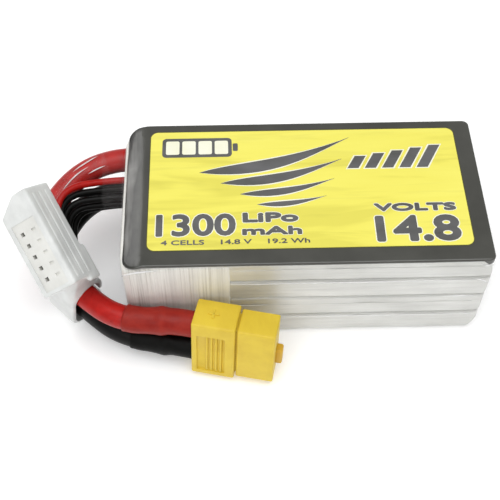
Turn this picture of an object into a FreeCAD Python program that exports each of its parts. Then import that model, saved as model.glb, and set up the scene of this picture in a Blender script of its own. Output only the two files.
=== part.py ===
"""Four-cell lithium polymer battery pack for a model aircraft, in millimetres.

The pack lies on its large face. +X runs along its length, away from the end where the leads
come out, +Y to the back and +Z up. The origin is the middle of the underside of the wrapped
cells, without the leads. The two power leads turn back round the terminal end and run along
the front to their connector, which stands on its narrow edge. The thin balance wires end in a
flat plug, which a clip holds on the power leads.
"""
import FreeCAD, Part
import math
import os

Vector = FreeCAD.Vector

# Wrapped pack
LABEL_LEFT = -37.4
LABEL_RIGHT = 37.6
LABEL_WIDTH = 38.0
FILM_LEFT = -38.6           # the film bulges past the label at both ends
FILM_RIGHT = 38.9
PACK_HEIGHT = 27.5
SLOPE_START = -32.9         # the top slopes down from here over the terminal end
SLOPE_LENGTH = 4.6
SLOPE_DROP = 1.7
SHEET_GAP = 0.05            # room between layers that lie on each other
PANEL_THICKNESS = 0.1
LABEL_THICKNESS = 0.3
LABEL_WRAP = 0.9            # how far the label folds down the sides
FILM_THICKNESS = 0.2
CORNER_RADIUS = 1.4
END_CORNER_EXTRA = 1.5      # the terminal end has larger corners
EDGE_RADIUS = 1.0
PANEL_LEFT = -32.3
PANEL_RIGHT = 33.7
PANEL_FRONT = -15.0
PANEL_BACK = 16.5
PANEL_RADIUS = 1.6

# Cells
CELL_COUNT = 4
CELL_LENGTH = 69.8
CELL_WIDTH = 36.2
CELL_THICKNESS = 6.3
CELL_PITCH = 6.6
CELL_EDGE_RADIUS = 1.6
FAR_END_GAP = 0.6
FIRST_CELL_BASE = 0.35
TAB_WIDTH = 7.0
TAB_THICKNESS = 0.2
TAB_OFFSET = 9.0
TAB_REACH = 2.5

# Terminal end
BOARD_THICKNESS = 1.0
BOARD_WIDTH = 32.0
BOARD_BASE = 3.0
BOARD_TOP = 24.6
INSULATOR_THICKNESS = 0.3
WINDOW_LOW = (1.2, 13.4)    # lower corner (Y, Z) of the opening for the leads and wires
WINDOW_HIGH = (17.2, 24.4)
FAR_WINDOW_LOW = (-13.0, 4.0)
FAR_WINDOW_HIGH = (13.0, 23.0)

# Film collar over the leads: distance from the pack, then centre (Y, Z) and size of its section
COLLAR_THICKNESS = 0.2
COLLAR_TILT = 41.0
COLLAR_RADIUS = 3.0
COLLAR_SECTIONS = [(0.0, (10.2, 20.2), (15.0, 10.1)), (-4.5, (9.6, 19.9), (15.0, 10.6))]

# Filament tape
TAPE_START = -36.4
TAPE_END = -15.8
TAPE_THICKNESS = 0.12

# Leads and wires
LEAD_RADIUS = 2.6
SLEEVE_RADIUS = 2.85
SLEEVE_GAP = 0.03
WIRE_RADIUS = 0.75
ARC_SHARE = 0.45            # part of the shorter run that each arc takes up
LAST_RUN = 6.0              # straight into the connector
SLEEVED_EDGES = 3
WIRE_FIRST_RUN = 6.6
WIRE_ENTRY = (-12.8, -6.6)  # last two points of each wire's route, from the plug's mating face

# Power connector, in its own axes: X forwards, Y through its thickness, Z across its two contacts
CONNECTOR_REAR = Vector(-23.4, -23.65, 8.55)
CONNECTOR_YAW = -12.4
CONNECTOR_LEAN = -9.0
CONTACT_OFFSET = 3.6
COVER_LENGTH = 9.2
COVER_THICKNESS = 7.4
COVER_WIDTH = 15.8
COVER_WALL = 1.0
COVER_REAR_WALL = 1.2
BODY_START = 3.0
BODY_END = 16.3
BODY_THICKNESS = 5.3
BODY_WIDTH = 13.5
SOCKET_RADIUS = 2.3
SOCKET_BORE_RADIUS = 1.75
SOCKET_BORE_LENGTH = 10.0
LEAD_ENTRY = 1.0
CAP_START = 9.5
CAP_END = 17.5
CAP_THICKNESS = 6.6
CAP_WIDTH = 14.8
CAP_GAP = 0.15
CAP_FRONT_WALL = 1.0
TAB_LOW = (-1.2, -3.4)      # corners (Y, Z) of the tab on the cap's front
TAB_HIGH = (1.2, 0.8)
CAP_TAB_LENGTH = 1.4
GRIP_DEPTH = 0.45           # recess in the cover's wide face
GRIP_LOW = (1.4, -6.4)      # its corners (X, Z)
GRIP_HIGH = (6.6, 2.6)
GRIP_RIBS = 4
GRIP_RIB_START = 3.4
GRIP_RIB_PITCH = 0.75
GRIP_RIB_WIDTH = 0.35
MARK_X = 3.6                # raised plus mark on the cover's top
MARK_ARM = 1.0
MARK_HALF_LINE = 0.3
MARK_HEIGHT = 0.15

# Balance plug, in its own axes: X along its row of holes, Y through its thickness, Z out of its
# mating face
PLUG_FACE = Vector(-53.3, -15.9, 28.2)
PLUG_ROW = Vector(0.455, -0.705, -0.545)
PLUG_OUT = Vector(-0.32, -0.70, 0.635)
PLUG_PITCH = 2.5
PLUG_WAYS = 5
PLUG_WIDTH = 14.8
PLUG_THICKNESS = 5.75
PLUG_DEPTH = 9.8
PLUG_HOLE_OFFSET = -1.3
PLUG_HOLE = 1.3
WIRE_HOLE = 2.0
KEY_SLOT_LOW = (-0.3, 0.9)  # corners (X, Y) of the slot beside each hole
KEY_SLOT_HIGH = (0.3, 2.0)
KEY_SLOT_DEPTH = 1.5
CONTACT_SIZE = 1.2
CONTACT_BORE = 0.8
CONTACT_TOP = -2.0

# Clip that backs the plug, in the plug's axes
CLIP_TOP = -12.9
CLIP_BOTTOM = 8.3
CLIP_WALL = 1.2
CLIP_GAP = 0.1
CLIP_DEPTH = 9.0
CLIP_BEVEL = 3.3
CLIP_RIBS = 3
CLIP_RIB_PITCH = 2.4
CLIP_RIB_WIDTH = 0.9
CLIP_RIB_HEIGHT = 0.35
FLAP_DEPTH = 10.4
FLAP_START = 1.6
FLAP_END = 9.4

# Hook of the clip round the two power leads
HOOK_CENTRE = Vector(-49.9, -11.6, 8.7)
HOOK_AXIS = Vector(0.75, -0.66, -0.18)
HOOK_DEPTH = 6.4
HOOK_GAP = 3.2
WEB_LOW = (0.0, -4.2, 4.6)  # block that joins the hook to the clip's corner, in the hook's axes
WEB_HIGH = (3.2, -1.4, 8.4)
HOOK_WALL = 0.9
HOOK_SIZE = (13.4, 7.2)     # height and width inside

# Routes, from the terminal board to the connector or the balance plug
RED_ROUTE = [
    (-35.8, 14.2, 21.4),
    (-42.2, 14.2, 21.4),
    (-50.6, 9.6, 19.8),
    (-56.0, 1.2, 16.6),
    (-54.6, -8.2, 13.2),
    (-47.6, -14.4, 11.6),
    (-39.2, -21.5, 11.9),
]
BLACK_ROUTE = [
    (-35.8, 9.2, 16.8),
    (-41.4, 9.2, 16.8),
    (-49.4, 5.8, 14.0),
    (-54.0, -1.4, 10.2),
    (-52.8, -8.8, 6.7),
    (-46.6, -14.6, 5.2),
    (-39.4, -20.8, 4.9),
]
WIRE_STARTS = [(8.2, 21.6), (6.4, 20.8), (4.6, 20.2), (4.2, 18.4), (5.2, 16.8)]
WIRE_TURNS = [
    (-51.2, 3.8, 24.6),
    (-51.4, 3.2, 22.7),
    (-51.3, 2.6, 20.7),
    (-50.8, 2.6, 18.7),
    (-50.2, 3.0, 16.6),
]

nodes = {}


def box(low, high):
    """Block between two corners."""
    size = [b - a for a, b in zip(low, high)]
    return Part.makeBox(*size, Vector(*low))


def edges_along(shape, axes, keep=lambda centre: True):
    """Straight edges parallel to the named axes whose middle passes the test."""
    found = []
    for edge in shape.Edges:
        run = edge.Vertexes[-1].Point - edge.Vertexes[0].Point
        if run.Length < 1e-6:
            continue
        along = [abs(getattr(run, axis)) > 0.999 * run.Length for axis in axes]
        if any(along) and keep(edge.CenterOfMass):
            found.append(edge)
    return found


def rounded_box(low, high, radius, axes):
    """Block with the edges that run along the named axes rounded."""
    block = box(low, high)
    return block.makeFillet(radius, edges_along(block, axes))


def rod(start, length, radius, y=0.0, z=0.0):
    """Cylinder along X."""
    return Part.makeCylinder(radius, length, Vector(start, y, z), Vector(1, 0, 0))


def pack_block(left, right, half_width, base, top, radius):
    """Block with rounded corners whose top slopes down to the left over the terminal end."""
    block = box((left, -half_width, base), (right, half_width, top))
    left_corners = edges_along(block, "z", lambda centre: centre.x < 0)
    block = block.makeFillet(radius + END_CORNER_EXTRA, left_corners)
    right_corners = edges_along(block, "z", lambda centre: centre.x > right - 0.01)
    block = block.makeFillet(radius, right_corners)
    rim = [edge for edge in block.Edges if edge.BoundBox.ZLength < 0.01]
    block = block.makeFillet(EDGE_RADIUS * radius / CORNER_RADIUS, rim)
    slope = SLOPE_DROP / SLOPE_LENGTH
    far_left = left - 1.0
    wedge_corners = [
        (SLOPE_START, top),
        (far_left, top - slope * (SLOPE_START - far_left)),
        (far_left, top + 1.0),
    ]
    corners = [Vector(x, -half_width - 1.0, z) for x, z in wedge_corners]
    wedge_face = Part.Face(Part.makePolygon(corners + corners[:1]))
    return block.cut(wedge_face.extrude(Vector(0, 2 * half_width + 2.0, 0)))


def route_edges(points, name=None):
    """Straight runs joined by tangent arcs, each as large as its two runs allow."""
    points = [Vector(*point) for point in points]
    edges = []
    radii = []
    last = points[0]
    for before, corner, after in zip(points, points[1:], points[2:]):
        run_in = corner - before
        run_out = after - corner
        reach = ARC_SHARE * min(run_in.Length, run_out.Length)
        turn = run_in.getAngle(run_out)
        radius = reach / math.tan(turn / 2)
        radii.append(radius)
        unit_in = run_in / run_in.Length
        unit_out = run_out / run_out.Length
        inwards = unit_out - unit_in
        inwards.normalize()
        arc_start = corner - unit_in * reach
        arc_end = corner + unit_out * reach
        arc_middle = corner + inwards * (radius / math.cos(turn / 2) - radius)
        edges.append(Part.LineSegment(last, arc_start).toShape())
        edges.append(Part.Arc(arc_start, arc_middle, arc_end).toShape())
        last = arc_end
    edges.append(Part.LineSegment(last, points[-1]).toShape())
    if name:
        print(name, "radii", [round(radius, 1) for radius in radii])
    return edges


def tube(edges, radius):
    """Round solid swept along joined edges."""
    path = Part.Wire(edges)
    start = edges[0].valueAt(edges[0].FirstParameter)
    heading = edges[0].tangentAt(edges[0].FirstParameter)
    section = Part.Wire([Part.makeCircle(radius, start, heading)])
    return path.makePipeShell([section], True, False)


def report_tube(name, edges, solid, radius):
    """Print a tube's length, and its volume over its section times its length."""
    length = sum(edge.Length for edge in edges)
    share = solid.Volume / (math.pi * radius ** 2 * length)
    print(name, "length", round(length, 2), "volume share", round(share, 4))


def placed(shape, placement):
    """Copy of a shape moved from its own axes into the pack's."""
    moved = shape.copy()
    moved.Placement = placement.multiply(moved.Placement)
    return moved


def axes_placement(origin, x_axis, z_axis):
    """Placement with the given X direction, and Z as near as it can be to the given one."""
    return FreeCAD.Placement(origin, FreeCAD.Rotation(x_axis, Vector(), z_axis, "XZY"))


def connector_placement():
    yaw = FreeCAD.Rotation(Vector(0, 0, 1), CONNECTOR_YAW)
    lean = FreeCAD.Rotation(Vector(1, 0, 0), CONNECTOR_LEAN)
    return FreeCAD.Placement(CONNECTOR_REAR, yaw.multiply(lean))


def plug_placement():
    return axes_placement(PLUG_FACE, PLUG_ROW, PLUG_OUT)


CELL_RIGHT = FILM_RIGHT - FAR_END_GAP
CELL_LEFT = CELL_RIGHT - CELL_LENGTH
BOARD_RIGHT = CELL_LEFT - TAB_REACH
BOARD_LEFT = BOARD_RIGHT - BOARD_THICKNESS
LABEL_TOP = PACK_HEIGHT - PANEL_THICKNESS
FILM_TOP = LABEL_TOP - LABEL_THICKNESS - SHEET_GAP


def make_cells():
    """Pouch cells with a foam pad between each pair, and their tabs reaching to the board."""
    half = CELL_WIDTH / 2
    tabs = {"positive_tabs": [], "negative_tabs": []}
    for index in range(CELL_COUNT):
        base = FIRST_CELL_BASE + index * CELL_PITCH
        top = base + CELL_THICKNESS
        low = (CELL_LEFT, -half, base)
        high = (CELL_RIGHT, half, top)
        nodes[f"cell_{index + 1}"] = rounded_box(low, high, CELL_EDGE_RADIUS, "xyz")
        middle = (base + top) / 2
        side = 1 if index % 2 == 0 else -1
        for name, sign in (("positive_tabs", side), ("negative_tabs", -side)):
            y = sign * TAB_OFFSET
            low = (BOARD_RIGHT, y - TAB_WIDTH / 2, middle - TAB_THICKNESS / 2)
            high = (CELL_LEFT, y + TAB_WIDTH / 2, middle + TAB_THICKNESS / 2)
            tabs[name].append(box(low, high))
        if index + 1 < CELL_COUNT:
            low = (CELL_LEFT + 4.0, 3.0 - half, top)
            high = (CELL_RIGHT - 4.0, half - 3.0, base + CELL_PITCH)
            nodes[f"cell_pad_{index + 1}"] = rounded_box(low, high, 2.0, "z")
    for name, solids in tabs.items():
        nodes[name] = Part.makeCompound(solids)


def make_terminal_end():
    """Board that joins the cells, its two solder joints, and the sheet that covers it."""
    half = BOARD_WIDTH / 2
    nodes["terminal_board"] = rounded_box(
        (BOARD_LEFT, -half, BOARD_BASE), (BOARD_RIGHT, half, BOARD_TOP), 1.5, "x")
    joints = []
    for x, y, z in (RED_ROUTE[0], BLACK_ROUTE[0]):
        joints.append(Part.makeCone(
            LEAD_RADIUS - 0.4, LEAD_RADIUS + 0.1, BOARD_LEFT - x, Vector(x, y, z), Vector(1, 0, 0)))
    nodes["solder_joints"] = Part.makeCompound(joints)
    sheet_left = FILM_LEFT + FILM_THICKNESS + 0.3
    sheet_right = sheet_left + INSULATOR_THICKNESS
    sheet_low = (sheet_left, 1.5 - half, 2.0)
    sheet_high = (sheet_right, half - 1.5, BOARD_TOP - 0.8)
    sheet = rounded_box(sheet_low, sheet_high, 1.5, "x")
    nodes["end_insulator"] = sheet.cut(lead_window(sheet_left - 1.0, sheet_right + 1.0))


def lead_window(left, right):
    """Opening in the terminal end that the leads and wires come out of."""
    return rounded_box((left, *WINDOW_LOW), (right, *WINDOW_HIGH), 2.0, "x")


def make_wrap():
    """Tape, clear film, label and its printed panel, from the inside out."""
    half = LABEL_WIDTH / 2 - LABEL_THICKNESS - SHEET_GAP
    wall = FILM_THICKNESS
    outer = pack_block(FILM_LEFT, FILM_RIGHT, half, 0.0, FILM_TOP, CORNER_RADIUS)
    inner = pack_block(
        FILM_LEFT + wall, FILM_RIGHT - wall, half - wall, wall, FILM_TOP - wall, CORNER_RADIUS - wall)
    far_window = rounded_box(
        (FILM_RIGHT - 2.0, *FAR_WINDOW_LOW), (FILM_RIGHT + 1.0, *FAR_WINDOW_HIGH), 3.0, "x")
    near_window = lead_window(FILM_LEFT - 1.0, FILM_LEFT + 1.0)
    nodes["shrink_sleeve"] = outer.cut(inner).cut(far_window).cut(near_window)

    half = CELL_WIDTH / 2 + SHEET_GAP
    low = FIRST_CELL_BASE - 0.02
    high = FIRST_CELL_BASE + (CELL_COUNT - 1) * CELL_PITCH + CELL_THICKNESS + 0.02
    grow = TAPE_THICKNESS
    tape = rounded_box(
        (TAPE_START, -half - grow, low - grow), (TAPE_END, half + grow, high + grow),
        CELL_EDGE_RADIUS + grow, "x")
    hollow = rounded_box(
        (TAPE_START - 0.5, -half, low), (TAPE_END + 0.5, half, high), CELL_EDGE_RADIUS, "x")
    gap = wall + SHEET_GAP
    room = pack_block(
        FILM_LEFT + gap, FILM_RIGHT - gap, LABEL_WIDTH / 2, -1.0, FILM_TOP - gap, CORNER_RADIUS)
    nodes["filament_tape"] = tape.cut(hollow).common(room)

    half = LABEL_WIDTH / 2
    inside_top = LABEL_TOP - LABEL_THICKNESS
    inside_half = half - LABEL_THICKNESS
    label = pack_block(LABEL_LEFT, LABEL_RIGHT, half, 0.0, LABEL_TOP, CORNER_RADIUS)
    inside_radius = CORNER_RADIUS - LABEL_THICKNESS
    inside = pack_block(
        LABEL_LEFT - 3.0, LABEL_RIGHT + 3.0, inside_half, -1.0, inside_top, inside_radius)
    wrap_base = LABEL_TOP - LABEL_WRAP
    below = pack_block(
        LABEL_LEFT - 5.0, LABEL_RIGHT + 5.0, half + 5.0, -5.0, wrap_base, CORNER_RADIUS)
    nodes["top_label"] = label.cut(inside).cut(below)
    nodes["label_panel"] = rounded_box(
        (PANEL_LEFT, PANEL_FRONT, LABEL_TOP), (PANEL_RIGHT, PANEL_BACK, PACK_HEIGHT),
        PANEL_RADIUS, "z")


def tilted_section(x, centre, size, radius):
    """Rounded rectangle across X, turned in line with the two power leads."""
    width, height = size
    block = rounded_box((0, -width / 2, -height / 2), (1, width / 2, height / 2), radius, "x")
    face = min(block.Faces, key=lambda item: item.CenterOfMass.x)
    wire = face.OuterWire
    tilt = FreeCAD.Rotation(Vector(1, 0, 0), COLLAR_TILT)
    wire.Placement = FreeCAD.Placement(Vector(x, *centre), tilt)
    return wire


def make_lead_collar():
    """Film drawn out over the leads where they leave the pack."""
    root = FILM_LEFT - SHEET_GAP
    skins = []
    for inset in (0.0, COLLAR_THICKNESS):
        wires = []
        for x, centre, size in COLLAR_SECTIONS:
            shrunk = [side - 2 * inset for side in size]
            wires.append(tilted_section(root + x, centre, shrunk, COLLAR_RADIUS - inset))
        skins.append(Part.makeLoft(wires, True, True))
    nodes["lead_collar"] = skins[0].cut(skins[1])


def make_leads():
    """Power leads, with a heat-shrink sleeve on the end of each."""
    placement = connector_placement()
    for name, route, side in (("red", RED_ROUTE, 1), ("black", BLACK_ROUTE, -1)):
        z = side * CONTACT_OFFSET
        depths = (LEAD_ENTRY - LAST_RUN, LEAD_ENTRY)
        ends = [placement.multVec(Vector(x, 0, z)) for x in depths]
        edges = route_edges(list(route) + ends, f"{name}_lead")
        lead = tube(edges, LEAD_RADIUS)
        report_tube(f"{name}_lead", edges, lead, LEAD_RADIUS)
        nodes[f"{name}_lead"] = lead
        covered = edges[-SLEEVED_EDGES:]
        bore = tube(covered, LEAD_RADIUS + SLEEVE_GAP)
        nodes[f"{name}_heat_shrink"] = tube(covered, SLEEVE_RADIUS).cut(bore)


def make_balance_wires():
    """Thin wires from the terminal board to the contacts in the balance plug."""
    placement = plug_placement()
    for index, ((y, z), turn) in enumerate(zip(WIRE_STARTS, WIRE_TURNS)):
        along = (index - (PLUG_WAYS - 1) / 2) * PLUG_PITCH
        starts = [(BOARD_LEFT, y, z), (BOARD_LEFT - WIRE_FIRST_RUN, y, z)]
        entry = [Vector(along, PLUG_HOLE_OFFSET, depth) for depth in WIRE_ENTRY]
        route = starts + [turn] + [placement.multVec(point) for point in entry]
        name = f"balance_wire_{index + 1}"
        edges = route_edges(route, name)
        wire = tube(edges, WIRE_RADIUS)
        report_tube(name, edges, wire, WIRE_RADIUS)
        nodes[name] = wire


def connector_box(start, end, thickness, width, radius):
    """Block in the connector's axes with its long edges rounded."""
    low = (start, -thickness / 2, -width / 2)
    high = (end, thickness / 2, width / 2)
    return rounded_box(low, high, radius, "x")


def make_cover():
    """Cover over the solder cups, with a ribbed grip recess and a raised plus mark."""
    cover = connector_box(0.0, COVER_LENGTH, COVER_THICKNESS, COVER_WIDTH, 0.6)
    thickness = COVER_THICKNESS - 2 * COVER_WALL
    width = COVER_WIDTH - 2 * COVER_WALL
    cover = cover.cut(connector_box(COVER_REAR_WALL, COVER_LENGTH + 1, thickness, width, 0.4))
    for z in (CONTACT_OFFSET, -CONTACT_OFFSET):
        cover = cover.cut(rod(-1, 4, SLEEVE_RADIUS + 0.15, z=z))
    face = -COVER_THICKNESS / 2
    floor = face + GRIP_DEPTH
    left, low = GRIP_LOW
    right, high = GRIP_HIGH
    cover = cover.cut(box((left, face - 1, low), (right, floor, high)))
    for index in range(GRIP_RIBS):
        x = GRIP_RIB_START + index * GRIP_RIB_PITCH
        cover = cover.fuse(box((x, face + 0.1, low), (x + GRIP_RIB_WIDTH, floor + 0.1, high)))
    top = COVER_WIDTH / 2
    for length, width in ((MARK_ARM, MARK_HALF_LINE), (MARK_HALF_LINE, MARK_ARM)):
        mark_low = (MARK_X - length, -width, top - 0.1)
        mark_high = (MARK_X + length, width, top + MARK_HEIGHT)
        cover = cover.fuse(box(mark_low, mark_high))
    return cover


def make_cap():
    """Pull-off cap over the connector's nose, with a tab to hold it by."""
    cap = connector_box(CAP_START, CAP_END, CAP_THICKNESS, CAP_WIDTH, 0.6)
    thickness = BODY_THICKNESS + 2 * CAP_GAP
    width = BODY_WIDTH + 2 * CAP_GAP
    hollow = connector_box(CAP_START - 1, CAP_END - CAP_FRONT_WALL, thickness, width, 0.5)
    tab_low = (CAP_END - 0.5, *TAB_LOW)
    tab_high = (CAP_END + CAP_TAB_LENGTH, *TAB_HIGH)
    return cap.cut(hollow).fuse(rounded_box(tab_low, tab_high, 0.6, "y"))


def make_connector():
    """Housing with its two brass sockets, its cover and its cap."""
    placement = connector_placement()
    body = connector_box(BODY_START, BODY_END, BODY_THICKNESS, BODY_WIDTH, 0.5)
    for name, z in (("positive_socket", CONTACT_OFFSET), ("negative_socket", -CONTACT_OFFSET)):
        body = body.cut(rod(BODY_START - 1, BODY_END, SOCKET_RADIUS + SLEEVE_GAP, z=z))
        socket = rod(LEAD_ENTRY, BODY_END - LEAD_ENTRY, SOCKET_RADIUS, z=z)
        bore_start = BODY_END - SOCKET_BORE_LENGTH
        bore = rod(bore_start, SOCKET_BORE_LENGTH + 1, SOCKET_BORE_RADIUS, z=z)
        nodes[name] = placed(socket.cut(bore), placement)
    nodes["connector_body"] = placed(body, placement)
    nodes["connector_cover"] = placed(make_cover(), placement)
    nodes["connector_cap"] = placed(make_cap(), placement)


def square_post(x, y, side, low, high):
    """Upright block of square section."""
    half = side / 2
    return box((x - half, y - half, low), (x + half, y + half, high))


def make_balance_plug():
    """Plug housing with its row of holes, and the contacts inside."""
    placement = plug_placement()
    half_width = PLUG_WIDTH / 2
    half = PLUG_THICKNESS / 2
    housing = rounded_box((-half_width, -half, -PLUG_DEPTH), (half_width, half, 0.0), 0.4, "z")
    y = PLUG_HOLE_OFFSET
    seat = WIRE_ENTRY[1]
    contacts = []
    for index in range(PLUG_WAYS):
        x = (index - (PLUG_WAYS - 1) / 2) * PLUG_PITCH
        housing = housing.cut(square_post(x, y, PLUG_HOLE, seat - 0.1, 1.0))
        housing = housing.cut(square_post(x, y, WIRE_HOLE, -PLUG_DEPTH - 1, seat))
        slot_left, slot_front = KEY_SLOT_LOW
        slot_right, slot_back = KEY_SLOT_HIGH
        slot_low = (x + slot_left, slot_front, -KEY_SLOT_DEPTH)
        slot_high = (x + slot_right, slot_back, 1.0)
        housing = housing.cut(box(slot_low, slot_high))
        contact = square_post(x, y, CONTACT_SIZE, seat, CONTACT_TOP)
        contacts.append(contact.cut(square_post(x, y, CONTACT_BORE, seat + 1.5, 0.0)))
    nodes["balance_plug"] = placed(housing, placement)
    nodes["balance_contacts"] = placed(Part.makeCompound(contacts), placement)


def stadium(length, width, height):
    """Block along X with half-round top and bottom, centred on the axis."""
    return connector_box(-length / 2, length / 2, width, height, width / 2 - 0.01)


def make_clip_frame(inner, outer):
    """Ribbed frame round the plug, with one bevelled corner and a flap down to the leads."""
    outline = [
        (CLIP_TOP + CLIP_BEVEL, -outer),
        (CLIP_TOP, 0.6),
        (CLIP_TOP, outer),
        (CLIP_BOTTOM, outer),
        (CLIP_BOTTOM, -outer),
    ]
    corners = [Vector(x, y, -CLIP_DEPTH) for x, y in outline]
    face = Part.Face(Part.makePolygon(corners + corners[:1]))
    frame = face.extrude(Vector(0, 0, CLIP_DEPTH - 0.2))
    frame = frame.fuse(box((FLAP_START, inner, -FLAP_DEPTH), (FLAP_END, outer, 2.5 - CLIP_DEPTH)))
    for index in range(CLIP_RIBS):
        z = 1.4 - CLIP_DEPTH + index * CLIP_RIB_PITCH
        rib_low = (CLIP_TOP + 1.5, outer - 0.1, z)
        rib_high = (CLIP_BOTTOM - 0.5, outer + CLIP_RIB_HEIGHT, z + CLIP_RIB_WIDTH)
        frame = frame.fuse(box(rib_low, rib_high))
    return frame


def make_hook():
    """Open ring of stadium shape that goes round the two power leads."""
    height, width = HOOK_SIZE
    ring = stadium(HOOK_DEPTH, width + 2 * HOOK_WALL, height + 2 * HOOK_WALL)
    ring = ring.fuse(box(WEB_LOW, WEB_HIGH))
    ring = ring.cut(stadium(HOOK_DEPTH + 2, width, height))
    mouth = box((-HOOK_DEPTH, 0.0, -HOOK_GAP / 2), (HOOK_DEPTH, width, HOOK_GAP / 2))
    return ring.cut(mouth)


def make_clip():
    """Clip that holds the balance plug, with a hook round the two power leads."""
    half = PLUG_WIDTH / 2 + CLIP_GAP
    inner = PLUG_THICKNESS / 2 + CLIP_GAP
    placement = plug_placement()
    frame = placed(make_clip_frame(inner, inner + CLIP_WALL), placement)
    pocket = placed(box((-half, -inner, -FLAP_DEPTH - 1), (half, inner, 1.0)), placement)
    hook_placement = axes_placement(HOOK_CENTRE, HOOK_AXIS, Vector(0, 0, 1))
    clip = frame.fuse(placed(make_hook(), hook_placement)).cut(pocket)
    nodes["balance_clip"] = clip.removeSplitter()


def main():
    make_cells()
    make_terminal_end()
    make_wrap()
    make_lead_collar()
    make_leads()
    make_balance_wires()
    make_connector()
    make_balance_plug()
    make_clip()
    os.makedirs("parts", exist_ok=True)
    for name, shape in nodes.items():
        if not shape.isValid():
            print("not valid:", name)
        shape.exportStep(f"parts/{name}.step")


main()
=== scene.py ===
"""Looks of a four-cell lithium polymer battery pack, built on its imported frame, in metres.

+X runs along the pack away from the end that the leads leave, +Y to the back and +Z up.
"""
import math

import bmesh
import bpy
from mathutils import Matrix, Quaternion, Vector, noise


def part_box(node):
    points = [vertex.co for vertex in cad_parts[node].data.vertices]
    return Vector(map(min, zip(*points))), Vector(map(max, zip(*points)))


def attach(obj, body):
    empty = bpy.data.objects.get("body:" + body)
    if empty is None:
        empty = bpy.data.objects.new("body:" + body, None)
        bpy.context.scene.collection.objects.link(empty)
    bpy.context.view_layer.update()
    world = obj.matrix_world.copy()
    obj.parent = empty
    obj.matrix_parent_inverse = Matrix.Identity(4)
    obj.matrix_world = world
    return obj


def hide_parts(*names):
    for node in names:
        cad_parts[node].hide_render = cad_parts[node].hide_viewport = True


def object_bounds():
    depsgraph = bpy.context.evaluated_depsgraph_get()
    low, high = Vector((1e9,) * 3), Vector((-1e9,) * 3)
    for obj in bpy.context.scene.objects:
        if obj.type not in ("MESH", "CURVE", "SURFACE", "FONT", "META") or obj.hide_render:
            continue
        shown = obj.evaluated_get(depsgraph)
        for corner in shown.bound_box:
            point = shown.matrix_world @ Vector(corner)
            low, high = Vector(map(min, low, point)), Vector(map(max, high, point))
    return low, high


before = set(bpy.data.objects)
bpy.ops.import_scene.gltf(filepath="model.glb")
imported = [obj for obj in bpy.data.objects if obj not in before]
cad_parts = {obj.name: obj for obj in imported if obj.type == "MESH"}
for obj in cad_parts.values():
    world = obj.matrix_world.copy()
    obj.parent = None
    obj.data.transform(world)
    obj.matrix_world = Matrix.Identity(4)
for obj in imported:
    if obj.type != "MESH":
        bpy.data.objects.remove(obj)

CAD_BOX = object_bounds()

# Camera: the point that it looks at, its distance, and its angles in degrees
VIEW_TARGET = Vector((-0.010917, 0.004007, 0.0))
VIEW_DISTANCE = 0.22487
VIEW_AZIMUTH = -2.13
VIEW_ELEVATION = 54.92
VIEW_ROLL = 0.61
VIEW_LENS = 68.85

# Leads and wires
LEAD_DIAMETER = 0.0052
WIRE_DIAMETER = 0.0015
RED_ROUTE = [
    (-0.0358, 0.0142, 0.0214),
    (-0.0422, 0.0142, 0.0214),
    (-0.0506, 0.0096, 0.0198),
    (-0.0560, 0.0012, 0.0166),
    (-0.0546, -0.0082, 0.0132),
    (-0.0476, -0.0144, 0.0116),
    (-0.0392, -0.0215, 0.0119),
    (-0.028162, -0.022026, 0.012106),
    (-0.022302, -0.023315, 0.012106),
]
BLACK_ROUTE = [
    (-0.0358, 0.0092, 0.0168),
    (-0.0414, 0.0092, 0.0168),
    (-0.0494, 0.0058, 0.0140),
    (-0.0540, -0.0014, 0.0102),
    (-0.0528, -0.0088, 0.0067),
    (-0.0466, -0.0146, 0.0052),
    (-0.0394, -0.0208, 0.0049),
    (-0.028404, -0.023126, 0.004994),
    (-0.022544, -0.024415, 0.004994),
]
WIRE_BOARD = -0.035
WIRE_FIRST_BEND = -0.0416
WIRE_STARTS = [(0.0082, 0.0216), (0.0064, 0.0208), (0.0046, 0.0202), (0.0042, 0.0184), (0.0052, 0.0168)]
WIRE_TURNS = [
    (-0.0512, 0.0038, 0.0246),
    (-0.0514, 0.0032, 0.0227),
    (-0.0513, 0.0026, 0.0207),
    (-0.0508, 0.0026, 0.0187),
    (-0.0502, 0.0030, 0.0166),
]
WIRE_ENTRY = (-0.0128, -0.0066)
SLEEVE_RADIUS = 0.00285
SLEEVE_SHARE = 0.218        # of the lead's length, from the connector

# Connector, in its own axes: X forwards, Y through its thickness, Z across its contacts
CONNECTOR_REAR = Vector((-0.0234, -0.02365, 0.00855))
CONNECTOR_YAW = math.radians(-12.4)
CONNECTOR_LEAN = math.radians(-9.0)
COVER_SIZE = (0.0092, 0.0074, 0.0158)
LEAD_OFFSET = 0.0036        # of each lead from the middle
CAP_START = 0.0095
CAP_SIZE = (0.0080, 0.0066, 0.0148)

# Balance plug, in its own axes: X along its row of holes, Y through its thickness, Z out of its face
PLUG_FACE = Vector((-0.0533, -0.0159, 0.0282))
PLUG_ROW = Vector((0.455, -0.705, -0.545))
PLUG_OUT = Vector((-0.32, -0.70, 0.635))
PLUG_PITCH = 0.0025
PLUG_WAYS = 5
PLUG_SIZE = (0.0148, 0.00575, 0.0098)
PLUG_HOLE_OFFSET = -0.0013

# Clip, in the plug's axes, and its hook round the leads
CLIP_TOP = -0.0129
CLIP_BOTTOM = 0.0083
CLIP_HALF = 0.004175
CLIP_DEPTH = 0.009
HOOK_CENTRE = Vector((-0.0499, -0.0116, 0.0087))
HOOK_AXIS = Vector((0.75, -0.66, -0.18))
HOOK_DEPTH = 0.0064
HOOK_SIZE = (0.0134, 0.0072)
HOOK_WALL = 0.0009

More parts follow.
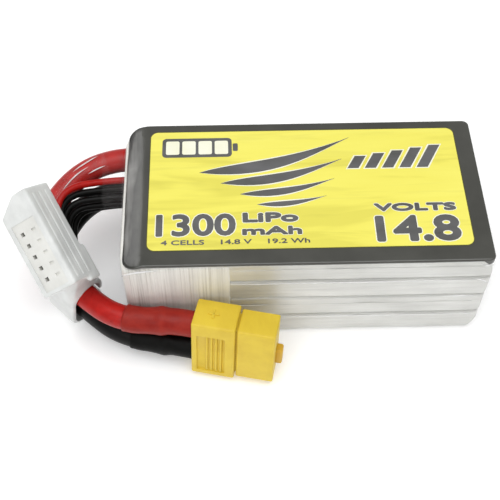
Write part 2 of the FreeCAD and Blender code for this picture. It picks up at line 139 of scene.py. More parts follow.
# Wrapped pack
CELLS = 4
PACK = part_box("shrink_sleeve")
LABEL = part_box("top_label")
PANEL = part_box("label_panel")
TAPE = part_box("filament_tape")
SLOPE_START = -0.0329
SLOPE_RATE = 0.37
SLOPE_EASE = 0.0012         # length over which the slope sets in
LEFT_CORNER = 0.0029
RIGHT_CORNER = 0.0014
END_BLEND = 0.002           # stretch before the label's edge that moves with the far end
SHOULDER_LOW = 0.0195       # heights between which the far end draws back to the label
SHOULDER_HIGH = 0.026
FOOT_RADIUS = 0.0045
FOOT_SHARE = 0.6
SIDE_FACE = 0.017           # distance from the middle beyond which a point is on a long side


# ---------------------------------------------------------------- materials

def srgb(red, green, blue):
    """Linear colour from 8-bit screen values."""
    def linear(value):
        value /= 255
        return value / 12.92 if value <= 0.04045 else ((value + 0.055) / 1.055) ** 2.4
    return (linear(red), linear(green), linear(blue), 1.0)


class Material:
    """A Principled material, with short calls for the nodes that feed it."""

    def __init__(self, name, colour, **sockets):
        self.data = bpy.data.materials.new(name)
        self.data.use_nodes = True
        self.tree = self.data.node_tree
        self.shader = self.tree.nodes["Principled BSDF"]
        self.shader.inputs["Base Color"].default_value = colour
        for socket, value in sockets.items():
            self.shader.inputs[socket.replace("_", " ")].default_value = value

    def node(self, kind, inputs=(), **settings):
        made = self.tree.nodes.new(kind)
        for key, value in settings.items():
            setattr(made, key, value)
        for key, value in dict(inputs).items():
            if isinstance(value, bpy.types.NodeSocket):
                self.tree.links.new(value, made.inputs[key])
            else:
                made.inputs[key].default_value = value
        return made

    def place(self, stretch=(1, 1, 1)):
        """Object coordinates in metres, scaled along each axis."""
        source = self.node("ShaderNodeTexCoord").outputs["Object"]
        return self.node("ShaderNodeMapping", {"Vector": source, "Scale": stretch}).outputs["Vector"]

    def noise(self, size, detail=3.0, roughness=0.5, stretch=(1, 1, 1), distortion=0.0):
        """Noise whose features are about size metres across, before the stretch."""
        return self.node("ShaderNodeTexNoise", {
            "Vector": self.place(stretch), "Scale": 1 / size, "Detail": detail,
            "Roughness": roughness, "Distortion": distortion}).outputs["Fac"]

    def ramp(self, factor, stops, interpolation="LINEAR"):
        made = self.node("ShaderNodeValToRGB", {"Fac": factor})
        made.color_ramp.interpolation = interpolation
        elements = made.color_ramp.elements
        while len(elements) < len(stops):
            elements.new(0.5)
        for element, (position, colour) in zip(elements, stops):
            element.position = position
            element.color = colour if hasattr(colour, "__len__") else (colour, colour, colour, 1)
        return made.outputs["Color"]

    def mix(self, factor, first, second, blend="MIX"):
        made = self.node("ShaderNodeMix", data_type="RGBA", blend_type=blend)
        for socket, value in ((made.inputs[0], factor), (made.inputs[6], first), (made.inputs[7], second)):
            if isinstance(value, bpy.types.NodeSocket):
                self.tree.links.new(value, socket)
            else:
                socket.default_value = value
        return made.outputs[2]

    def bump(self, height, depth, strength=1.0, under=None):
        made = self.node("ShaderNodeBump", {"Height": height, "Distance": depth, "Strength": strength})
        if under:
            self.tree.links.new(under, made.inputs["Normal"])
        return made.outputs["Normal"]

    def feed(self, **sockets):
        for socket, value in sockets.items():
            self.tree.links.new(value, self.shader.inputs[socket.replace("_", " ")])
        return self


def moulded(name, colour, dark, roughness, grain=0.00018, depth=0.00001):
    """Moulded plastic: fine grain, faint flow marks and slightly uneven gloss."""
    made = Material(name, colour)
    flow = made.noise(0.004, 4, 0.6, (1, 0.4, 1))
    fine = made.noise(grain, 2)
    made.feed(
        Base_Color=made.ramp(flow, [(0.3, dark), (0.62, colour)]),
        Roughness=made.ramp(fine, [(0.3, roughness - 0.06), (0.7, roughness + 0.08)]),
        Normal=made.bump(fine, depth, 0.6))
    return made.data


def silicone(name, colour, dark, roughness, shine):
    """Soft wire insulation: dusty, faintly drawn along its length."""
    made = Material(name, colour, Specular_IOR_Level=shine)
    dust = made.noise(0.0022, 5, 0.65)
    fine = made.noise(0.0002, 3)
    made.feed(
        Base_Color=made.ramp(dust, [(0.32, dark), (0.66, colour)]),
        Roughness=made.ramp(dust, [(0.3, roughness - 0.08), (0.75, roughness + 0.12)]),
        Normal=made.bump(fine, 0.000012, 0.5))
    return made.data


def foil_material():
    """Satin laminate foil with marks drawn along the cell."""
    made = Material("laminate_foil", srgb(222, 222, 218), Metallic=0.35, Specular_IOR_Level=0.6)
    drawn = made.noise(0.0009, 4, 0.6, (0.05, 1, 1))
    blotch = made.noise(0.009, 3, 0.5, (0.5, 1, 1))
    mottled = made.ramp(blotch, [(0.3, srgb(206, 206, 201)), (0.7, srgb(227, 227, 223))])
    lined = made.ramp(drawn, [(0.3, 0.86), (0.6, 1.0)])
    crinkle = made.noise(0.0028, 5, 0.7, (0.5, 1, 1), 0.6)
    made.feed(
        Base_Color=made.mix(1.0, mottled, lined, "MULTIPLY"),
        Roughness=made.ramp(drawn, [(0.3, 0.3), (0.7, 0.44)]),
        Normal=made.bump(crinkle, 0.00012, 0.5, made.bump(drawn, 0.00003, 0.5)))
    return made.data


def tape_material():
    """Cloudy film with glass threads across the pack."""
    made = Material("filament_tape", srgb(224, 223, 216), Specular_IOR_Level=0.6)
    threads = made.noise(0.00030, 2, 0.6, (1, 0.012, 0.012))
    bands = made.noise(0.0022, 3, 0.7, (1, 0.02, 0.02))
    thread_tone = made.ramp(threads, [
        (0.30, srgb(206, 203, 194)), (0.44, srgb(232, 231, 224)), (0.7, srgb(243, 242, 236))])
    band_tone = made.ramp(bands, [(0.30, 0.82), (0.42, 0.95), (0.56, 1.0)])
    made.feed(
        Base_Color=made.mix(1.0, thread_tone, band_tone, "MULTIPLY"),
        Roughness=made.ramp(bands, [(0.3, 0.28), (0.7, 0.4)]),
        Normal=made.bump(threads, 0.00003, 0.5))
    return made.data


def film_material(name, haze, tone):
    """Clear shrunk film, hazier where it is creased."""
    made = Material(name, tone, Roughness=0.12, IOR=1.6, Specular_IOR_Level=0.9)
    crease = made.noise(0.0035, 4, 0.6, (1, 1, 1), 0.8)
    made.feed(
        Alpha=made.ramp(crease, [(0.35, haze * 0.6), (0.62, haze), (0.8, haze * 1.9)]),
        Normal=made.bump(crease, 0.0004, 0.5))
    return made.data


def label_material():
    """Glossy charcoal print under clear film, with painted reflections towards the shrunk end: light grey
    streaks and near-black wedges.
    """
    made = Material("charcoal_print", srgb(78, 78, 72), Roughness=0.22,
                    Coat_Weight=0.3, Coat_Roughness=0.08)
    across = made.node("ShaderNodeSeparateXYZ", {"Vector": made.place()}).outputs["X"]
    wobble = made.noise(0.006, 3, 0.6, (0.6, 1, 1))
    shift = made.node("ShaderNodeMath", {0: wobble, 1: 0.0045, 2: across},
                      operation="MULTIPLY_ADD").outputs[0]
    # Share of the painted reflections, rising to full towards the terminal end.
    end = made.node("ShaderNodeMapRange", {
        "Value": shift, "From Min": PACK[0].x + 0.0036, "From Max": PACK[0].x + 0.0068}).outputs[0]
    # Painted reflections: near-black wedges and light grey streaks.
    reflection_streaks = made.noise(0.0024, 2, 0.5, (1, 0.2, 0.6))
    painted_end_reflections = made.ramp(reflection_streaks, [
        (0.47, srgb(20, 18, 16)), (0.53, srgb(76, 74, 71)), (0.68, srgb(122, 121, 118))])
    mottle = made.noise(0.012, 3, 0.5)
    plain = made.ramp(mottle, [(0.3, srgb(62, 62, 57)), (0.7, srgb(77, 77, 72))])
    ripple = made.noise(0.0026, 3, 0.6, (1, 0.25, 1))
    made.feed(
        Base_Color=made.mix(end, painted_end_reflections, plain),
        Normal=made.bump(ripple, 0.00010, 0.35))
    return made.data


def panel_material():
    """Glossy yellow print with pale and darker swept bands."""
    made = Material("yellow_print", srgb(244, 234, 96), Roughness=0.2,
                    Coat_Weight=0.4, Coat_Roughness=0.08)
    sweep = made.noise(0.010, 4, 0.55, (0.16, 1, 1), 0.5)
    fine = made.noise(0.0035, 3, 0.6, (0.10, 1, 1), 0.4)
    broad = made.ramp(sweep, [
        (0.40, srgb(230, 221, 92)), (0.46, srgb(243, 234, 101)), (0.60, srgb(247, 239, 109))])
    thin = made.ramp(fine, [(0.36, 0.93), (0.45, 1.0)])
    ripple = made.noise(0.006, 3, 0.5)
    made.feed(
        Base_Color=made.mix(1.0, broad, thin, "MULTIPLY"),
        Normal=made.bump(ripple, 0.00008, 0.3))
    return made.data


def ink_material(name, colour, light):
    """Printed ink, shaded a little along the pack."""
    made = Material(name, colour, Coat_Weight=0.4, Coat_Roughness=0.1)
    shade = made.noise(0.005, 3, 0.5, (0.5, 1, 1))
    made.feed(
        Base_Color=made.ramp(shade, [(0.35, colour), (0.7, light)]),
        Roughness=made.ramp(shade, [(0.3, 0.26), (0.7, 0.36)]))
    return made.data


def metal(name, colour, dark, roughness=0.3, size=0.0006):
    """Metal with drawn marks about size metres apart."""
    made = Material(name, colour, Metallic=1.0)
    marks = made.noise(size, 4, 0.6, (0.15, 1, 1))
    made.feed(
        Base_Color=made.ramp(marks, [(0.3, dark), (0.7, colour)]),
        Roughness=made.ramp(marks, [(0.3, roughness), (0.7, roughness + 0.14)]),
        Normal=made.bump(marks, 0.00002, 0.4))
    return made.data


# ---------------------------------------------------------------- mesh helpers

def new_object(name, data):
    """Object in the scene from a mesh, curve, camera or light."""
    made = bpy.data.objects.new(name, data)
    bpy.context.scene.collection.objects.link(made)
    return made


def evaluated_mesh(made):
    """Mesh of an object as its modifiers or curve settings shape it. The object is removed."""
    graph = bpy.context.evaluated_depsgraph_get()
    mesh = bpy.data.meshes.new_from_object(made.evaluated_get(graph))
    bpy.data.objects.remove(made)
    return mesh


def piece(name, mesh, material, body="pack", replaces=(), smooth=True):
    """Object from a mesh, riding on a body."""
    made = new_object(name, mesh)
    mesh.materials.clear()
    mesh.materials.append(material)
    if smooth:
        mesh.polygons.foreach_set("use_smooth", [True] * len(mesh.polygons))
    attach(made, body)
    if replaces:
        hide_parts(*replaces)
    return made


def mesh_from(name, vertices, faces):
    mesh = bpy.data.meshes.new(name)
    mesh.from_pydata([tuple(v) for v in vertices], [], faces)
    mesh.validate()
    mesh.update()
    return mesh


def bridge_rings(rings, close_first=True, close_last=True, loop=False):
    """Vertices and faces of a skin through rings of equal length."""
    count = len(rings[0])
    vertices = [v for ring in rings for v in ring]
    faces = []
    last = len(rings) if loop else len(rings) - 1
    for r in range(last):
        here = r * count
        there = (r + 1) % len(rings) * count
        for i in range(count):
            j = (i + 1) % count
            faces.append((here + i, here + j, there + j, there + i))
    if close_first and not loop:
        faces.append(tuple(reversed(range(count))))
    if close_last and not loop:
        faces.append(tuple(range((len(rings) - 1) * count, len(rings) * count)))
    return vertices, faces


def plan_ring(left, right, front, back, inset, left_radius, right_radius, height,
              steps=8, along=60, across=24):
    """Points round a rectangle in plan, inset, with so many steps to a corner and to a side."""
    left, right, front, back = left + inset, right - inset, front + inset, back - inset
    left_radius = max(left_radius - inset, 0.0002)
    right_radius = max(right_radius - inset, 0.0002)
    corners = [
        (right - right_radius, front + right_radius, right_radius, -90),
        (right - right_radius, back - right_radius, right_radius, 0),
        (left + left_radius, back - left_radius, left_radius, 90),
        (left + left_radius, front + left_radius, left_radius, 180),
    ]
    points = []
    for index, (x, y, radius, start) in enumerate(corners):
        for step in range(steps + 1):
            angle = math.radians(start + 90 * step / steps)
            points.append((x + radius * math.cos(angle), y + radius * math.sin(angle)))
        next_x, next_y, next_radius, next_start = corners[(index + 1) % 4]
        angle = math.radians(next_start)
        end = (next_x + next_radius * math.cos(angle), next_y + next_radius * math.sin(angle))
        begin = points[-1]
        divisions = across if index % 2 == 0 else along
        for step in range(1, divisions):
            t = step / divisions
            points.append((begin[0] + (end[0] - begin[0]) * t, begin[1] + (end[1] - begin[1]) * t))
    return [Vector((x, y, height)) for x, y in points]


def top_edge(top, radius, count):
    """Inset and height of the rings round a rounded top edge, upwards."""
    angles = [math.pi / 2 * step / count for step in range(count + 1)]
    return [(radius * (1 - math.cos(a)), top - radius * (1 - math.sin(a))) for a in angles]


def edge_levels(base, top, radius, count):
    """Inset and height of the rings round an edge-rounded block, from its underside to its top."""
    underside = [(inset, base + top - height) for inset, height in reversed(top_edge(top, radius, count))]
    middle = 6
    sides = [(0.0, base + radius + (top - base - 2 * radius) * step / middle) for step in range(1, middle)]
    return underside + sides + top_edge(top, radius, count)


def slope_down(point, top):
    """Lower a point of the pack's upper part over the terminal end."""
    depth = max(0.0, SLOPE_START - point.x)
    smooth = depth * depth / (depth + SLOPE_EASE)
    share = max(0.0, min(1.0, point.z / top))
    point.z -= smooth * SLOPE_RATE * share ** 3
    return point


def pulled_in(point, edge, depth):
    """Draw the top of the far end back towards the label's edge, and round its foot."""
    past = point.x - (edge - END_BLEND)
    if past > 0:
        top_share = min(1.0, max(0.0, point.z - SHOULDER_LOW) / (SHOULDER_HIGH - SHOULDER_LOW))
        foot_share = max(0.0, FOOT_RADIUS - point.z) / FOOT_RADIUS
        foot = FOOT_RADIUS * (1 - math.sqrt(1 - min(foot_share, 1.0) ** 2))
        point.x -= past / (depth + END_BLEND) * (depth * top_share ** 2 + foot * FOOT_SHARE)
    return point


def block_mesh(name, box, levels, left_radius, right_radius, shape, fill, top=None, close_base=True):
    """Skin of a block with rounded corners in plan, and rings at the given insets and heights.

    Its top is filled in with smaller rings, and slopes down over the terminal end if top is given.
    """
    (left, front, _), (right, back, _) = box
    rings = []
    for inset, height in levels:
        rings.append(plan_ring(left, right, front, back, inset, left_radius, right_radius, height))
    last_inset, last_height = levels[-1]
    for step in range(1, fill + 1):
        inset = last_inset + (min(right - left, back - front) / 2 - last_inset) * 0.93 * step / fill
        rings.append(plan_ring(left, right, front, back, inset, left_radius, right_radius, last_height))
    if top:
        rings = [[slope_down(p, top) for p in ring] for ring in rings]
    rings = [[shape(p) for p in ring] for ring in rings]
    return mesh_from(name, *bridge_rings(rings, close_base))


def bevelled_box(low, high, radius, segments=3):
    """Bmesh of a box with rounded edges."""
    mesh = bmesh.new()
    bmesh.ops.create_cube(mesh, size=1.0)
    low, high = Vector(low), Vector(high)
    for vertex in mesh.verts:
        vertex.co = Vector([low[i] + (vertex.co[i] + 0.5) * (high[i] - low[i]) for i in range(3)])
    if radius:
        bmesh.ops.bevel(mesh, geom=mesh.edges[:], offset=radius, segments=segments, profile=0.5,
                        affect="EDGES")
    return mesh


def to_mesh(name, source, matrix=None):
    mesh = bpy.data.meshes.new(name)
    source.to_mesh(mesh)
    source.free()
    if matrix:
        mesh.transform(matrix)
    return mesh


def applied(name, base, steps):
    """Mesh of a base mesh after modifiers, given as (kind, settings), are applied."""
    subject = new_object(name + "_work", base)
    helpers = []
    for kind, settings in steps:
        modifier = subject.modifiers.new(kind, kind)
        for key, value in settings.items():
            if key == "object":
                helpers.append(value)
            setattr(modifier, key, value)
    mesh = evaluated_mesh(subject)
    mesh.name = name
    for helper in helpers:
        bpy.data.objects.remove(helper)
    return mesh


def subtract(source, matrix=None):
    """Modifier step that cuts a bmesh out of the base mesh."""
    helper = new_object("cut", to_mesh("cut", source, matrix))
    return ("BOOLEAN", {"operation": "DIFFERENCE", "solver": "EXACT", "object": helper})


def moulded_piece(name, mesh, material, body="pack", replaces=(), degrees=35):
    """Piece with smooth shading, but edges sharper than the angle kept sharp."""
    made = piece(name, mesh, material, body, replaces, smooth=False)
    work = bmesh.new()
    work.from_mesh(made.data)
    limit = math.radians(degrees)
    for face in work.faces:
        face.smooth = True
    for edge in work.edges:
        if len(edge.link_faces) == 2 and edge.calc_face_angle(0) > limit:
            edge.smooth = False
    work.to_mesh(made.data)
    work.free()


def axes_matrix(origin, x_axis, z_axis):
    """Matrix of a frame with the given X, and Z as near as it can be to the given one."""
    x = x_axis.normalized()
    y = z_axis.cross(x).normalized()
    z = x.cross(y)
    rotation = Matrix((x, y, z)).transposed()
    return Matrix.Translation(origin) @ rotation.to_4x4()


CONNECTOR = (Matrix.Translation(CONNECTOR_REAR) @ Matrix.Rotation(CONNECTOR_YAW, 4, "Z")
             @ Matrix.Rotation(CONNECTOR_LEAN, 4, "X"))
PLUG = axes_matrix(PLUG_FACE, PLUG_ROW, PLUG_OUT)
HOOK = axes_matrix(HOOK_CENTRE, HOOK_AXIS, Vector((0, 0, 1)))


# ---------------------------------------------------------------- camera and cords

def make_camera():
    azimuth = math.radians(VIEW_AZIMUTH)
    elevation = math.radians(VIEW_ELEVATION)
    back = Vector((
        math.sin(azimuth) * math.cos(elevation),
        -math.cos(azimuth) * math.cos(elevation),
        math.sin(elevation)))
    data = bpy.data.cameras.new("camera")
    data.lens = VIEW_LENS
    data.sensor_width = 36.0
    data.clip_start = 0.01
    made = new_object("camera", data)
    made.location = VIEW_TARGET + back * VIEW_DISTANCE
    made.rotation_mode = "QUATERNION"
    roll = Quaternion((0, 0, 1), math.radians(VIEW_ROLL))
    made.rotation_quaternion = (-back).to_track_quat("-Z", "Y") @ roll
    bpy.context.scene.camera = made


def spline_object(name, route, radius):
    """Curve through a route's points as a smooth NURBS line."""
    data = bpy.data.curves.new(name, "CURVE")
    data.dimensions = "3D"
    data.resolution_u = 16
    data.bevel_depth = radius
    data.bevel_resolution = 8
    data.use_fill_caps = True
    spline = data.splines.new("NURBS")
    spline.points.add(len(route) - 1)
    for point, place in zip(spline.points, route):
        point.co = (*place, 1.0)
    spline.order_u = 3
    spline.use_endpoint_u = True
    return new_object(name, data)


def centreline(route):
    """Points along the smooth line of a route."""
    mesh = evaluated_mesh(spline_object("line", route, 0.0))
    return [vertex.co.copy() for vertex in mesh.vertices]


def line_length(points):
    return sum((b - a).length for a, b in zip(points, points[1:]))


def make_cord(name, route, diameter, material):
    made = spline_object(name, route, diameter / 2)
    made.data.materials.append(material)
    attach(made, "pack")
    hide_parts(name.removesuffix("_cord"))
    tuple(route[0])
    return made


def tube_along(points, radius_at, sides=28, arc=(0.0, 360.0)):
    """Rings round a line, with a radius that follows the share of the way and the angle."""
    total = line_length(points)
    rings = []
    done = 0.0
    full = arc[1] - arc[0] >= 359.9
    for index, point in enumerate(points):
        if index:
            done += (point - points[index - 1]).length
        ahead = points[min(index + 1, len(points) - 1)]
        behind = points[max(index - 1, 0)]
        tangent = (ahead - behind).normalized()
        side = tangent.cross(Vector((0, 0, 1))).normalized()
        up = side.cross(tangent)
        ring = []
        for step in range(sides if full else sides + 1):
            angle = math.radians(arc[0] + (arc[1] - arc[0]) * step / sides)
            radius = radius_at(done / total, angle)
            ring.append(point + (side * math.cos(angle) + up * math.sin(angle)) * radius)
        rings.append(ring)
    return rings


def resampled(points, count):
    """Evenly spaced points along a line."""
    total = line_length(points)
    wanted = [total * i / (count - 1) for i in range(count)]
    result = []
    done = 0.0
    index = 0
    for target in wanted:
        while index < len(points) - 2 and done + (points[index + 1] - points[index]).length < target:
            done += (points[index + 1] - points[index]).length
            index += 1
        run = points[index + 1] - points[index]
        share = (target - done) / run.length
        result.append(points[index] + run * min(max(share, 0.0), 1.0))
    return result


def plug_way(index):
    """Place of one of the plug's ways along its row."""
    return (index - (PLUG_WAYS - 1) / 2) * PLUG_PITCH


def wire_route(index):
    y, z = WIRE_STARTS[index]
    ends = [tuple(PLUG @ Vector((plug_way(index), PLUG_HOLE_OFFSET, depth))) for depth in WIRE_ENTRY]
    return [(WIRE_BOARD, y, z), (WIRE_FIRST_BEND, y, z), WIRE_TURNS[index], *ends]


def make_heat_shrinks(materials):
    """Shrunk tubes over the leads at the connector, thicker where they grip the solder cups."""
    for colour, route in (("red", RED_ROUTE), ("black", BLACK_ROUTE)):
        points = resampled(centreline(route), 200)
        points = points[int(200 * (1 - SLEEVE_SHARE)):]

        def radius(share, angle):
            lip = 0.00010 * math.exp(-((share - 0.012) / 0.02) ** 2)
            bulge = 0.00026 * math.exp(-((share - 0.50) / 0.075) ** 2)
            waist = -0.00006 * math.exp(-((share - 0.72) / 0.10) ** 2)
            uneven = 0.00005 * math.sin(3 * angle + 9 * share) + 0.00004 * math.sin(21 * share + 2 * angle)
            return SLEEVE_RADIUS + lip + bulge + waist + uneven

        outer = tube_along(points, radius)
        inner = tube_along(points, lambda share, angle: LEAD_DIAMETER / 2 + 0.00003)
        vertices, faces = bridge_rings(outer + inner[::-1], loop=True)
        name = f"{colour}_heat_shrink"
        piece(name + "_tube", mesh_from(name, vertices, faces), materials[name], replaces=[name])


# ---------------------------------------------------------------- wrapped pack

def make_cells(foil):
    """Pouch cells with rounded edges and a folded seal along each side."""
    wide, narrow = 0.0021, 0.00045
    sunk, proud, chamfer = 0.00004, 0.00007, 0.00008
    steps = 70
    for index in range(CELLS):
        node = f"cell_{index + 1}"
        low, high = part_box(node)

        def shape(point, seed=index * 7.3):
            wave = noise.noise(Vector((point.x * 160, point.y * 90, point.z * 420 + seed)))
            side = 1 if point.y > 0 else -1
            if abs(point.y) > SIDE_FACE:
                point.y += side * 0.00012 * (wave - 0.4)
            return pulled_in(point, LABEL[1].x - 0.0006, PACK[1].x - LABEL[1].x)

        levels = edge_levels(low.z, high.z, 0.0006, 4)
        mesh = block_mesh(node, (low, high), levels, 0.0012, 0.0012, shape, 3)
        piece(f"pouch_{node}", mesh, foil, replaces=[node])
        below, above = (wide, narrow) if index % 2 == 0 else (narrow, wide)
        for side, sign in (("front", -1), ("back", 1)):
            inner = sign * (high.y - sunk)
            outer = sign * (high.y + proud)
            rings = []
            for step in range(steps + 1):
                x = low.x + 0.0024 + (high.x - low.x - 0.0050) * step / steps
                drift = 0.00012 * noise.noise(Vector((x * 120, index * 3.1, sign)))
                base = low.z + below + drift
                top = high.z - above + drift
                rings.append([
                    Vector((x, inner, base)),
                    Vector((x, outer, base + chamfer)),
                    Vector((x, outer, top - chamfer)),
                    Vector((x, inner, top)),
                ])
            mesh = mesh_from("seal", *bridge_rings(rings))
            piece(f"{node}_seal_{side}", mesh, foil, smooth=False)


def make_tape(material):
    """Filament tape round the cells, with its cut edge a little uneven."""
    low, high = TAPE
    left = PACK[0].x + 0.0007
    bend = LEFT_CORNER - 0.0004
    rings = []
    steps = 72
    for step in range(steps + 1):
        x = left + (high.x - left) * step / steps
        inwards = max(0.0, left + bend - x)
        half = high.y - 0.00005 - (bend - math.sqrt(max(0.0, bend * bend - inwards * inwards)))
        ring = []
        for point in plan_ring(-half, half, low.z, high.z, 0.0, 0.0015, 0.0015, 0.0, 6, 30, 40):
            y, z = point.x, point.y
            if abs(y) > SIDE_FACE:
                y *= 1 + 0.0022 * noise.noise(Vector((x * 900, z * 60, y * 20)))
            cut = 0.00012 * noise.noise(Vector((z * 500, point.x * 300, 3.0))) if step == steps else 0.0
            ring.append(slope_down(Vector((x + cut, y, z)), PACK[1].z))
        rings.append(ring)
    mesh = mesh_from("tape", *bridge_rings(rings, False, False))
    made = piece("tape_band", mesh, material, replaces=["filament_tape"])
    thicken(made, 0.0001)


def thicken(made, thickness):
    """Give a sheet its thickness, inwards."""
    solid = made.modifiers.new("thickness", "SOLIDIFY")
    solid.thickness = thickness
    solid.offset = -1


def wrinkled(point, amount):
    """Film wrinkles that gather at the terminal end's corners."""
    end = max(0.0, 1 - (point.x - PACK[0].x) / 0.009)
    if end <= 0:
        return point
    fold = math.sin(point.z * 900 + point.y * 260 + 3 * noise.noise(point * 160))
    ripple = noise.noise(Vector((point.x * 220, point.y * 300, point.z * 300)))
    outward = Vector((-1.0, 0.4 if point.y > 0 else -0.4, 0.0)).normalized()
    return point - outward * amount * end * (0.5 + 0.3 * fold + 0.2 * ripple)


def make_film(material):
    """Clear shrunk film round the cells."""
    low, high = PACK

    def shape(point):
        return wrinkled(pulled_in(point, LABEL[1].x, high.x - LABEL[1].x), 0.00045)

    levels = edge_levels(low.z, high.z, 0.0009, 5)
    mesh = block_mesh("film", PACK, levels, LEFT_CORNER, RIGHT_CORNER, shape, 2, top=high.z)
    piece("clear_film", mesh, material, replaces=["shrink_sleeve"])


def make_label(material):
    """Dark label over the top, folded a little way down the sides."""
    low, high = LABEL
    box = (Vector((low.x, low.y + 0.0002, 0)), Vector((high.x + 0.0003, high.y - 0.0002, 0)))
    top = high.z
    wrap = 0.0001
    radius = 0.0004
    levels = [(0.0, top - radius - wrap), (0.0, top - radius - wrap * 0.5), *top_edge(top, radius, 6)]

    def shape(point):
        if point.z < top - radius * 0.98:
            point.z += 0.0001 * noise.noise(Vector((point.x * 70, point.y * 50, 0.3)))
            if point.x > high.x - 0.0012:
                point.z -= 0.0011
        return wrinkled(point, 0.0002)

    mesh = block_mesh("label", box, levels, LEFT_CORNER, RIGHT_CORNER, shape, 14, top, close_base=False)
    made = piece("label_sheet", mesh, material, replaces=["top_label"])
    thicken(made, 0.00012)


def flat_piece(name, outline, height, material, replaces=()):
    """Printed shape from one closed outline in plan."""
    mesh = bmesh.new()
    face = mesh.faces.new([mesh.verts.new((x, y, height)) for x, y in outline])
    face.normal_update()
    if face.normal.z < 0:
        face.normal_flip()
    bmesh.ops.triangulate(mesh, faces=mesh.faces[:], ngon_method="EAR_CLIP")
    return piece(name, to_mesh(name, mesh), material, replaces=replaces, smooth=False)


def rounded_outline(left, right, front, back, radius, steps=10):
    return [(p.x, p.y) for p in plan_ring(left, right, front, back, 0, radius, radius, 0, steps, 30, 16)]


def letter_mesh(name, text, width, height):
    """Mesh of words in the built-in typeface, stretched to a size, from its lower left corner."""
    data = bpy.data.curves.new(name, "FONT")
    data.body = text
    data.resolution_u = 4
    data.extrude = 0.5
    mesh = evaluated_mesh(new_object(name, data))
    xs = [v.co.x for v in mesh.vertices]
    ys = [v.co.y for v in mesh.vertices]
    scale = (width / (max(xs) - min(xs)), height / (max(ys) - min(ys)), 0.000012, 1)
    mesh.transform(Matrix.Diagonal(scale) @ Matrix.Translation((-min(xs), -min(ys), 0.5)))
    return mesh


def lettering(name, text, place, size, materials, bold, edge):
    """Words in heavy strokes, over a pale outline where there is one."""
    copies = 12
    layers = [("ink", bold, 0.000016, materials["dark_ink"])]
    if edge:
        layers.append(("edge", bold + edge, 0.0, materials["pale_ink"]))
    x, y, z = place
    for suffix, spread, lift, material in layers:
        words = bmesh.new()
        for step in range(copies):
            angle = 2 * math.pi * step / copies
            copy = letter_mesh(name, text, *size)
            copy.transform(Matrix.Translation((
                x + spread * math.cos(angle), y + spread * math.sin(angle), z + lift + step * 0.0000002)))
            words.from_mesh(copy)
            bpy.data.meshes.remove(copy)
        piece(f"{name}_{suffix}", to_mesh(name, words), material, smooth=False)


def blade(start, end, bow, width):
    """Outline of a swept, tapered stroke between two points."""
    start, end = Vector(start), Vector(end)
    run = end - start
    side = Vector((-run.y, run.x)).normalized()
    steps = 16
    upper, lower = [], []
    for step in range(steps + 1):
        t = step / steps
        middle = start + run * t + side * bow * math.sin(math.pi * t)
        half = max(width / 2 * math.sin(math.pi * t ** 0.7) ** 1.2, 0.00003)
        upper.append(tuple(middle + side * half))
        lower.append(tuple(middle - side * half))
    return lower + upper[::-1]


def make_panel(materials):
    """Yellow panel with a thin dark border, generic strokes, a battery sign and ratings.

    Places on it are from its left front corner.
    """
    low, high = PANEL
    left, front = low.x, low.y
    rim = 0.00018
    border = rounded_outline(low.x - rim, high.x + rim, low.y - rim, high.y + rim, 0.0018)
    flat_piece("panel_border", border, low.z + 0.00003, materials["olive_ink"])
    outline = rounded_outline(low.x, high.x, low.y, high.y, 0.0016)
    flat_piece("yellow_panel", outline, low.z + 0.00005, materials["yellow_print"],
               replaces=["label_panel"])
    base = low.z + 0.00006
    over = base + 0.00001
    pale, dark = materials["pale_ink"], materials["dark_ink"]

    strokes = [                 # start, end, bow, width
        ((0.0105, 0.0200), (0.0430, 0.0292), -0.0022, 0.0030),
        ((0.0150, 0.0170), (0.0410, 0.0232), -0.0016, 0.0024),
        ((0.0190, 0.0140), (0.0390, 0.0178), -0.0011, 0.0018),
        ((0.0225, 0.0112), (0.0370, 0.0132), -0.0007, 0.0013),
    ]
    for index, (start, end, bow, width) in enumerate(strokes):
        a = (left + start[0], front + start[1])
        b = (left + end[0], front + end[1])
        flat_piece(f"stroke_{index + 1}_edge", blade(a, b, bow, width + 0.0006), base, pale)
        flat_piece(f"stroke_{index + 1}", blade(a, b, bow, width), over, dark)

    wide = 0.0024
    for index in range(5):
        x, y = left + 0.0420 + index * 0.0037, front + 0.0205
        tall = 0.0034 + index * 0.0007
        lean = 0.55 * tall
        for suffix, grow, height, material in (("edge", 0.00025, base, pale), ("ink", 0.0, over, dark)):
            outline = [
                (x - 1.4 * grow, y - grow),
                (x + wide + grow, y - grow),
                (x + wide + lean + 1.4 * grow, y + tall + grow),
                (x + lean - grow, y + tall + grow)]
            flat_piece(f"bar_{index + 1}_{suffix}", outline, height, material)

    x, y = left + 0.0025, front + 0.0243
    case = rounded_outline(x, x + 0.0150, y, y + 0.0054, 0.0009, 4)
    flat_piece("sign_case", case, base, dark)
    tip = rounded_outline(x + 0.0152, x + 0.0163, y + 0.0016, y + 0.0038, 0.0003, 3)
    flat_piece("sign_tip", tip, base, dark)
    for index in range(CELLS):
        cell = x + 0.0008 + index * 0.0035
        outline = rounded_outline(cell, cell + 0.0029, y + 0.0008, y + 0.0046, 0.0004, 3)
        flat_piece(f"sign_cell_{index + 1}", outline, over, pale)

    words = [                   # name, text, place, size, boldness, outline
        ("capacity", "1300", (0.0019, 0.0036), (0.0158, 0.0052), 0.00024, 0.00020),
        ("unit", "mAh", (0.0194, 0.0036), (0.0118, 0.0018), 0.00020, 0.00014),
        ("kind", "LiPo", (0.0196, 0.0068), (0.0110, 0.0021), 0.00024, 0.00016),
        ("ratings", "4 CELLS    14.8 V    19.2 Wh", (0.0028, 0.0013), (0.0300, 0.0011), 0.00005, 0.0),
        ("voltage_word", "VOLTS", (0.0468, 0.0090), (0.0166, 0.0017), 0.00022, 0.00014),
        ("voltage", "14.8", (0.0468, 0.0014), (0.0166, 0.0060), 0.00036, 0.00022),
    ]
    for name, text, (x, y), size, bold, edge in words:
        lettering(name, text, (left + x, front + y, base), size, materials, bold, edge)


